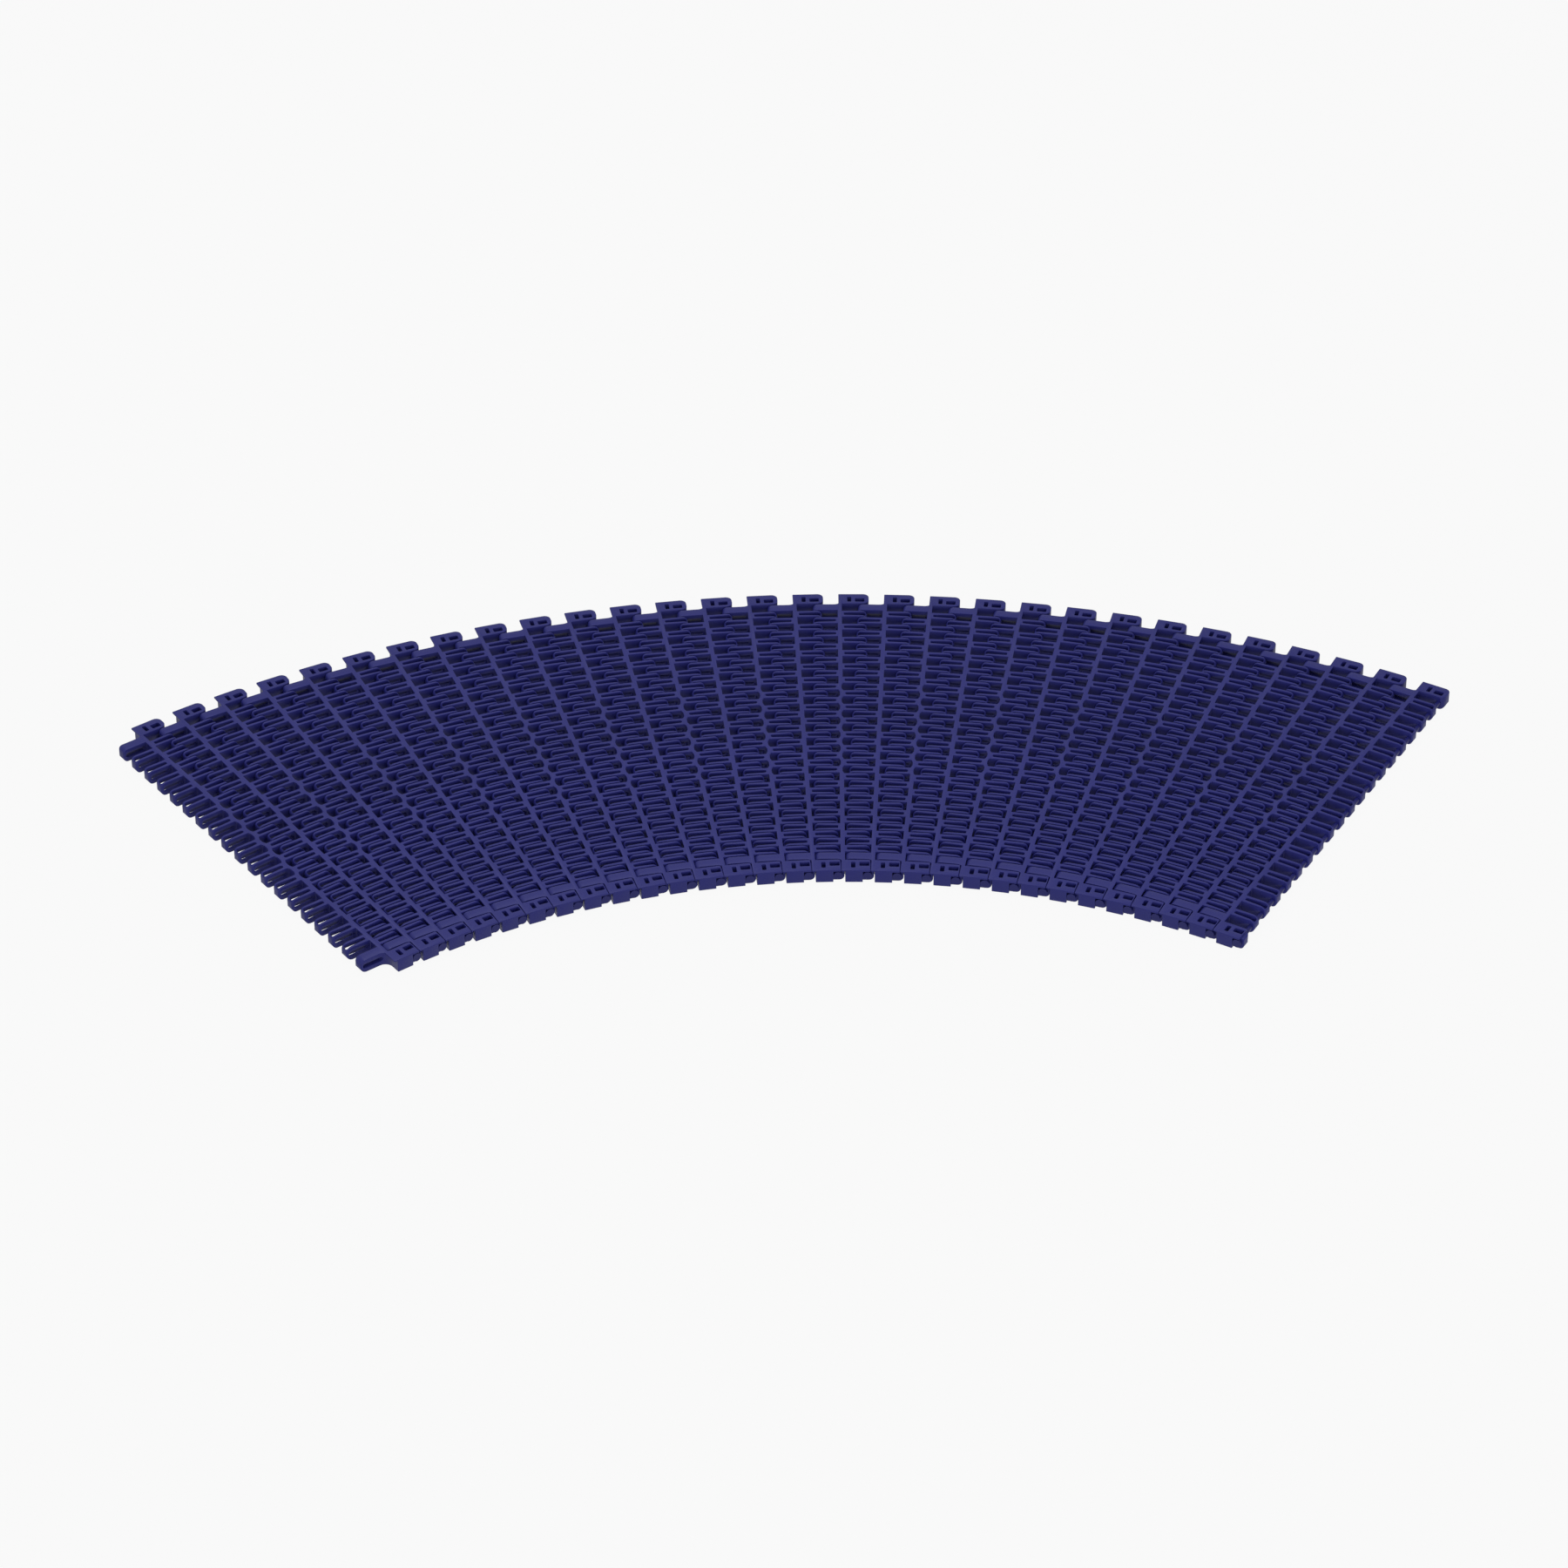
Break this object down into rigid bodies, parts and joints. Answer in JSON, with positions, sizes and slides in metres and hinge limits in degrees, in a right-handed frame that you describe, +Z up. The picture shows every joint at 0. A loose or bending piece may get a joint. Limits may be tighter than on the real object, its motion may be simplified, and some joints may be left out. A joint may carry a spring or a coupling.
{
  "type": "modular plastic belt",
  "caption": "Side-flexing modular plastic belt in a curve: interleaved comb rows joined by headed rods through round holes and long slots.",
  "frame": {"origin": "on the plane the belt lies on, under the middle of the belt's bounding box", "axes": "+X along the belt's middle row's travel, from its slotted fingers to its round-holed ones; +Y outwards from the middle of the curve; +Z up, out of the carrying side"},
  "size_m": [1.4316, 0.6504, 0.0152],
  "materials": {
    "belt_plastic": "moulded, fine satin",
    "rod_plastic": "extruded, satin"
  },
  "bodies": {
    "row_01": {"row_01": "belt_plastic"},
    "row_02": {"row_02": "belt_plastic"},
    "row_03": {"row_03": "belt_plastic"},
    "row_04": {"row_04": "belt_plastic"},
    "row_05": {"row_05": "belt_plastic"},
    "row_06": {"row_06": "belt_plastic"},
    "row_07": {"row_07": "belt_plastic"},
    "row_08": {"row_08": "belt_plastic"},
    "row_09": {"row_09": "belt_plastic"},
    "row_10": {"row_10": "belt_plastic"},
    "row_11": {"row_11": "belt_plastic"},
    "row_12": {"row_12": "belt_plastic"},
    "row_13": {"row_13": "belt_plastic"},
    "row_14": {"row_14": "belt_plastic"},
    "row_15": {"row_15": "belt_plastic"},
    "row_16": {"row_16": "belt_plastic"},
    "row_17": {"row_17": "belt_plastic"},
    "row_18": {"row_18": "belt_plastic"},
    "row_19": {"row_19": "belt_plastic"},
    "row_20": {"row_20": "belt_plastic"},
    "row_21": {"row_21": "belt_plastic"},
    "row_22": {"row_22": "belt_plastic"},
    "row_23": {"row_23": "belt_plastic"},
    "row_24": {"row_24": "belt_plastic"},
    "row_25": {"row_25": "belt_plastic"},
    "row_26": {"row_26": "belt_plastic"},
    "row_27": {"row_27": "belt_plastic"},
    "row_28": {"row_28": "belt_plastic"},
    "row_29": {"row_29": "belt_plastic"},
    "row_30": {"row_30": "belt_plastic"},
    "rod_01": {"rod_01": "rod_plastic"},
    "rod_02": {"rod_02": "rod_plastic"},
    "rod_03": {"rod_03": "rod_plastic"},
    "rod_04": {"rod_04": "rod_plastic"},
    "rod_05": {"rod_05": "rod_plastic"},
    "rod_06": {"rod_06": "rod_plastic"},
    "rod_07": {"rod_07": "rod_plastic"},
    "rod_08": {"rod_08": "rod_plastic"},
    "rod_09": {"rod_09": "rod_plastic"},
    "rod_10": {"rod_10": "rod_plastic"},
    "rod_11": {"rod_11": "rod_plastic"},
    "rod_12": {"rod_12": "rod_plastic"},
    "rod_13": {"rod_13": "rod_plastic"},
    "rod_14": {"rod_14": "rod_plastic"},
    "rod_15": {"rod_15": "rod_plastic"},
    "rod_16": {"rod_16": "rod_plastic"},
    "rod_17": {"rod_17": "rod_plastic"},
    "rod_18": {"rod_18": "rod_plastic"},
    "rod_19": {"rod_19": "rod_plastic"},
    "rod_20": {"rod_20": "rod_plastic"},
    "rod_21": {"rod_21": "rod_plastic"},
    "rod_22": {"rod_22": "rod_plastic"},
    "rod_23": {"rod_23": "rod_plastic"},
    "rod_24": {"rod_24": "rod_plastic"},
    "rod_25": {"rod_25": "rod_plastic"},
    "rod_26": {"rod_26": "rod_plastic"},
    "rod_27": {"rod_27": "rod_plastic"},
    "rod_28": {"rod_28": "rod_plastic"},
    "rod_29": {"rod_29": "rod_plastic"},
    "rod_30": {"rod_30": "rod_plastic"}
  },
  "joints": [
    {"name": "turn_14", "type": "hinge", "parent": "row_15", "child": "rod_14", "pos_m": [-0.05465, 0.3016, 0.0076], "axis": [0, 0, -1], "range_deg": [0, 2.32]},
    {"name": "flex_14", "type": "hinge", "parent": "rod_14", "child": "row_14", "pos_m": [-0.04063, 0.07062, 0.0076], "axis": [-0.0606, 0.9982, 0], "range_deg": [-4, 4]},
    {"name": "turn_13", "type": "hinge", "parent": "row_14", "child": "rod_13", "pos_m": [-0.10456, 0.29859, 0.0076], "axis": [0, 0, -1], "range_deg": [0, 2.32]},
    {"name": "flex_13", "type": "hinge", "parent": "rod_13", "child": "row_13", "pos_m": [-0.08122, 0.06837, 0.0076], "axis": [-0.1009, 0.9949, 0], "range_deg": [-4, 4]},
    {"name": "turn_12", "type": "hinge", "parent": "row_13", "child": "rod_12", "pos_m": [-0.15431, 0.29356, 0.0076], "axis": [0, 0, -1], "range_deg": [0, 2.32]},
    {"name": "flex_12", "type": "hinge", "parent": "rod_12", "child": "row_12", "pos_m": [-0.12168, 0.06448, 0.0076], "axis": [-0.141, 0.99, 0], "range_deg": [-4, 4]},
    {"name": "turn_11", "type": "hinge", "parent": "row_12", "child": "rod_11", "pos_m": [-0.20381, 0.28653, 0.0076], "axis": [0, 0, -1], "range_deg": [0, 2.32]},
    {"name": "flex_11", "type": "hinge", "parent": "rod_11", "child": "row_11", "pos_m": [-0.16195, 0.05895, 0.0076], "axis": [-0.1809, 0.9835, 0], "range_deg": [-4, 4]},
    {"name": "turn_10", "type": "hinge", "parent": "row_11", "child": "rod_10", "pos_m": [-0.25299, 0.27751, 0.0076], "axis": [0, 0, -1], "range_deg": [0, 2.32]},
    {"name": "flex_10", "type": "hinge", "parent": "rod_10", "child": "row_10", "pos_m": [-0.20197, 0.0518, 0.0076], "axis": [-0.2205, 0.9754, 0], "range_deg": [-4, 4]},
    {"name": "turn_09", "type": "hinge", "parent": "row_10", "child": "rod_09", "pos_m": [-0.30177, 0.2665, 0.0076], "axis": [0, 0, -1], "range_deg": [0, 2.32]},
    {"name": "flex_09", "type": "hinge", "parent": "rod_09", "child": "row_09", "pos_m": [-0.24167, 0.04304, 0.0076], "axis": [-0.2597, 0.9657, 0], "range_deg": [-4, 4]},
    {"name": "turn_08", "type": "hinge", "parent": "row_09", "child": "rod_08", "pos_m": [-0.35006, 0.25354, 0.0076], "axis": [0, 0, -1], "range_deg": [0, 2.32]},
    {"name": "flex_08", "type": "hinge", "parent": "rod_08", "child": "row_08", "pos_m": [-0.28097, 0.03269, 0.0076], "axis": [-0.2985, 0.9544, 0], "range_deg": [-4, 4]},
    {"name": "turn_07", "type": "hinge", "parent": "row_08", "child": "rod_07", "pos_m": [-0.39778, 0.23863, 0.0076], "axis": [0, 0, -1], "range_deg": [0, 2.32]},
    {"name": "flex_07", "type": "hinge", "parent": "rod_07", "child": "row_07", "pos_m": [-0.31983, 0.02075, 0.0076], "axis": [-0.3369, 0.9416, 0], "range_deg": [-4, 4]},
    {"name": "turn_06", "type": "hinge", "parent": "row_07", "child": "rod_06", "pos_m": [-0.44487, 0.2218, 0.0076], "axis": [0, 0, -1], "range_deg": [0, 2.32]},
    {"name": "flex_06", "type": "hinge", "parent": "rod_06", "child": "row_06", "pos_m": [-0.35818, 0.00726, 0.0076], "axis": [-0.3746, 0.9272, 0], "range_deg": [-4, 4]},
    {"name": "turn_05", "type": "hinge", "parent": "row_06", "child": "rod_05", "pos_m": [-0.49123, 0.20309, 0.0076], "axis": [0, 0, -1], "range_deg": [0, 2.32]},
    {"name": "flex_05", "type": "hinge", "parent": "rod_05", "child": "row_05", "pos_m": [-0.39594, -0.00778, 0.0076], "axis": [-0.4118, 0.9113, 0], "range_deg": [-4, 4]},
    {"name": "turn_04", "type": "hinge", "parent": "row_05", "child": "rod_04", "pos_m": [-0.5368, 0.18252, 0.0076], "axis": [0, 0, -1], "range_deg": [0, 2.32]},
    {"name": "flex_04", "type": "hinge", "parent": "rod_04", "child": "row_04", "pos_m": [-0.43307, -0.02433, 0.0076], "axis": [-0.4483, 0.8939, 0], "range_deg": [-4, 4]},
    {"name": "turn_03", "type": "hinge", "parent": "row_04", "child": "rod_03", "pos_m": [-0.58151, 0.16012, 0.0076], "axis": [0, 0, -1], "range_deg": [0, 2.32]},
    {"name": "flex_03", "type": "hinge", "parent": "rod_03", "child": "row_03", "pos_m": [-0.4695, -0.04236, 0.0076], "axis": [-0.484, 0.875, 0], "range_deg": [-4, 4]},
    {"name": "turn_02", "type": "hinge", "parent": "row_03", "child": "rod_02", "pos_m": [-0.62527, 0.13594, 0.0076], "axis": [0, 0, -1], "range_deg": [0, 2.32]},
    {"name": "flex_02", "type": "hinge", "parent": "rod_02", "child": "row_02", "pos_m": [-0.50517, -0.06185, 0.0076], "axis": [-0.519, 0.8548, 0], "range_deg": [-4, 4]},
    {"name": "turn_01", "type": "hinge", "parent": "row_02", "child": "rod_01", "pos_m": [-0.66802, 0.11001, 0.0076], "axis": [0, 0, -1], "range_deg": [0, 2.32]},
    {"name": "flex_01", "type": "hinge", "parent": "rod_01", "child": "row_01", "pos_m": [-0.54002, -0.08277, 0.0076], "axis": [-0.5531, 0.8331, 0], "range_deg": [-4, 4]},
    {"name": "flex_15", "type": "hinge", "parent": "row_15", "child": "rod_15", "pos_m": [0.00001, 0.07123, 0.0076], "axis": [-0.0202, 0.9998, 0], "range_deg": [-4, 4]},
    {"name": "turn_15", "type": "hinge", "parent": "rod_15", "child": "row_16", "pos_m": [-0.00466, 0.30259, 0.0076], "axis": [0, 0, 1], "range_deg": [0, 2.32]},
    {"name": "flex_16", "type": "hinge", "parent": "row_16", "child": "rod_16", "pos_m": [0.04065, 0.0702, 0.0076], "axis": [0.0202, 0.9998, 0], "range_deg": [-4, 4]},
    {"name": "turn_16", "type": "hinge", "parent": "rod_16", "child": "row_17", "pos_m": [0.04532, 0.30156, 0.0076], "axis": [0, 0, 1], "range_deg": [0, 2.32]},
    {"name": "flex_17", "type": "hinge", "parent": "row_17", "child": "rod_17", "pos_m": [0.08121, 0.06753, 0.0076], "axis": [0.0606, 0.9982, 0], "range_deg": [-4, 4]},
    {"name": "turn_17", "type": "hinge", "parent": "rod_17", "child": "row_18", "pos_m": [0.09523, 0.29851, 0.0076], "axis": [0, 0, 1], "range_deg": [0, 2.32]},
    {"name": "flex_18", "type": "hinge", "parent": "row_18", "child": "rod_18", "pos_m": [0.12163, 0.06322, 0.0076], "axis": [0.1009, 0.9949, 0], "range_deg": [-4, 4]},
    {"name": "turn_18", "type": "hinge", "parent": "rod_18", "child": "row_19", "pos_m": [0.14497, 0.29344, 0.0076], "axis": [0, 0, 1], "range_deg": [0, 2.32]},
    {"name": "flex_19", "type": "hinge", "parent": "row_19", "child": "rod_19", "pos_m": [0.16184, 0.05728, 0.0076], "axis": [0.141, 0.99, 0], "range_deg": [-4, 4]},
    {"name": "turn_19", "type": "hinge", "parent": "rod_19", "child": "row_20", "pos_m": [0.19447, 0.28637, 0.0076], "axis": [0, 0, 1], "range_deg": [0, 2.32]},
    {"name": "flex_20", "type": "hinge", "parent": "row_20", "child": "rod_20", "pos_m": [0.20178, 0.04973, 0.0076], "axis": [0.1809, 0.9835, 0], "range_deg": [-4, 4]},
    {"name": "turn_20", "type": "hinge", "parent": "rod_20", "child": "row_21", "pos_m": [0.24364, 0.27731, 0.0076], "axis": [0, 0, 1], "range_deg": [0, 2.32]},
    {"name": "flex_21", "type": "hinge", "parent": "row_21", "child": "rod_21", "pos_m": [0.24139, 0.04056, 0.0076], "axis": [0.2205, 0.9754, 0], "range_deg": [-4, 4]},
    {"name": "turn_21", "type": "hinge", "parent": "rod_21", "child": "row_22", "pos_m": [0.29241, 0.26626, 0.0076], "axis": [0, 0, 1], "range_deg": [0, 2.32]},
    {"name": "flex_22", "type": "hinge", "parent": "row_22", "child": "rod_22", "pos_m": [0.28059, 0.0298, 0.0076], "axis": [0.2597, 0.9657, 0], "range_deg": [-4, 4]},
    {"name": "turn_22", "type": "hinge", "parent": "rod_22", "child": "row_23", "pos_m": [0.34069, 0.25326, 0.0076], "axis": [0, 0, 1], "range_deg": [0, 2.32]},
    {"name": "flex_23", "type": "hinge", "parent": "row_23", "child": "rod_23", "pos_m": [0.31932, 0.01746, 0.0076], "axis": [0.2985, 0.9544, 0], "range_deg": [-4, 4]},
    {"name": "turn_23", "type": "hinge", "parent": "rod_23", "child": "row_24", "pos_m": [0.3884, 0.23831, 0.0076], "axis": [0, 0, 1], "range_deg": [0, 2.32]},
    {"name": "flex_24", "type": "hinge", "parent": "row_24", "child": "rod_24", "pos_m": [0.35752, 0.00357, 0.0076], "axis": [0.3369, 0.9416, 0], "range_deg": [-4, 4]},
    {"name": "turn_24", "type": "hinge", "parent": "rod_24", "child": "row_25", "pos_m": [0.43547, 0.22145, 0.0076], "axis": [0, 0, 1], "range_deg": [0, 2.32]},
    {"name": "flex_25", "type": "hinge", "parent": "row_25", "child": "rod_25", "pos_m": [0.39513, -0.01185, 0.0076], "axis": [0.3746, 0.9272, 0], "range_deg": [-4, 4]},
    {"name": "turn_25", "type": "hinge", "parent": "rod_25", "child": "row_26", "pos_m": [0.48182, 0.2027, 0.0076], "axis": [0, 0, 1], "range_deg": [0, 2.32]},
    {"name": "flex_26", "type": "hinge", "parent": "row_26", "child": "rod_26", "pos_m": [0.43209, -0.02878, 0.0076], "axis": [0.4118, 0.9113, 0], "range_deg": [-4, 4]},
    {"name": "turn_26", "type": "hinge", "parent": "rod_26", "child": "row_27", "pos_m": [0.52738, 0.18209, 0.0076], "axis": [0, 0, 1], "range_deg": [0, 2.32]},
    {"name": "flex_27", "type": "hinge", "parent": "row_27", "child": "rod_27", "pos_m": [0.46833, -0.04719, 0.0076], "axis": [0.4483, 0.8939, 0], "range_deg": [-4, 4]},
    {"name": "turn_27", "type": "hinge", "parent": "rod_27", "child": "row_28", "pos_m": [0.57206, 0.15966, 0.0076], "axis": [0, 0, 1], "range_deg": [0, 2.32]},
    {"name": "flex_28", "type": "hinge", "parent": "row_28", "child": "rod_28", "pos_m": [0.5038, -0.06705, 0.0076], "axis": [0.484, 0.875, 0], "range_deg": [-4, 4]},
    {"name": "turn_28", "type": "hinge", "parent": "rod_28", "child": "row_29", "pos_m": [0.61581, 0.13544, 0.0076], "axis": [0, 0, 1], "range_deg": [0, 2.32]},
    {"name": "flex_29", "type": "hinge", "parent": "row_29", "child": "rod_29", "pos_m": [0.53843, -0.08832, 0.0076], "axis": [0.519, 0.8548, 0], "range_deg": [-4, 4]},
    {"name": "turn_29", "type": "hinge", "parent": "rod_29", "child": "row_30", "pos_m": [0.65853, 0.10947, 0.0076], "axis": [0, 0, 1], "range_deg": [0, 2.32]},
    {"name": "flex_30", "type": "hinge", "parent": "row_30", "child": "rod_30", "pos_m": [0.57218, -0.11098, 0.0076], "axis": [0.5531, 0.8331, 0], "continuous": true}
  ]
}
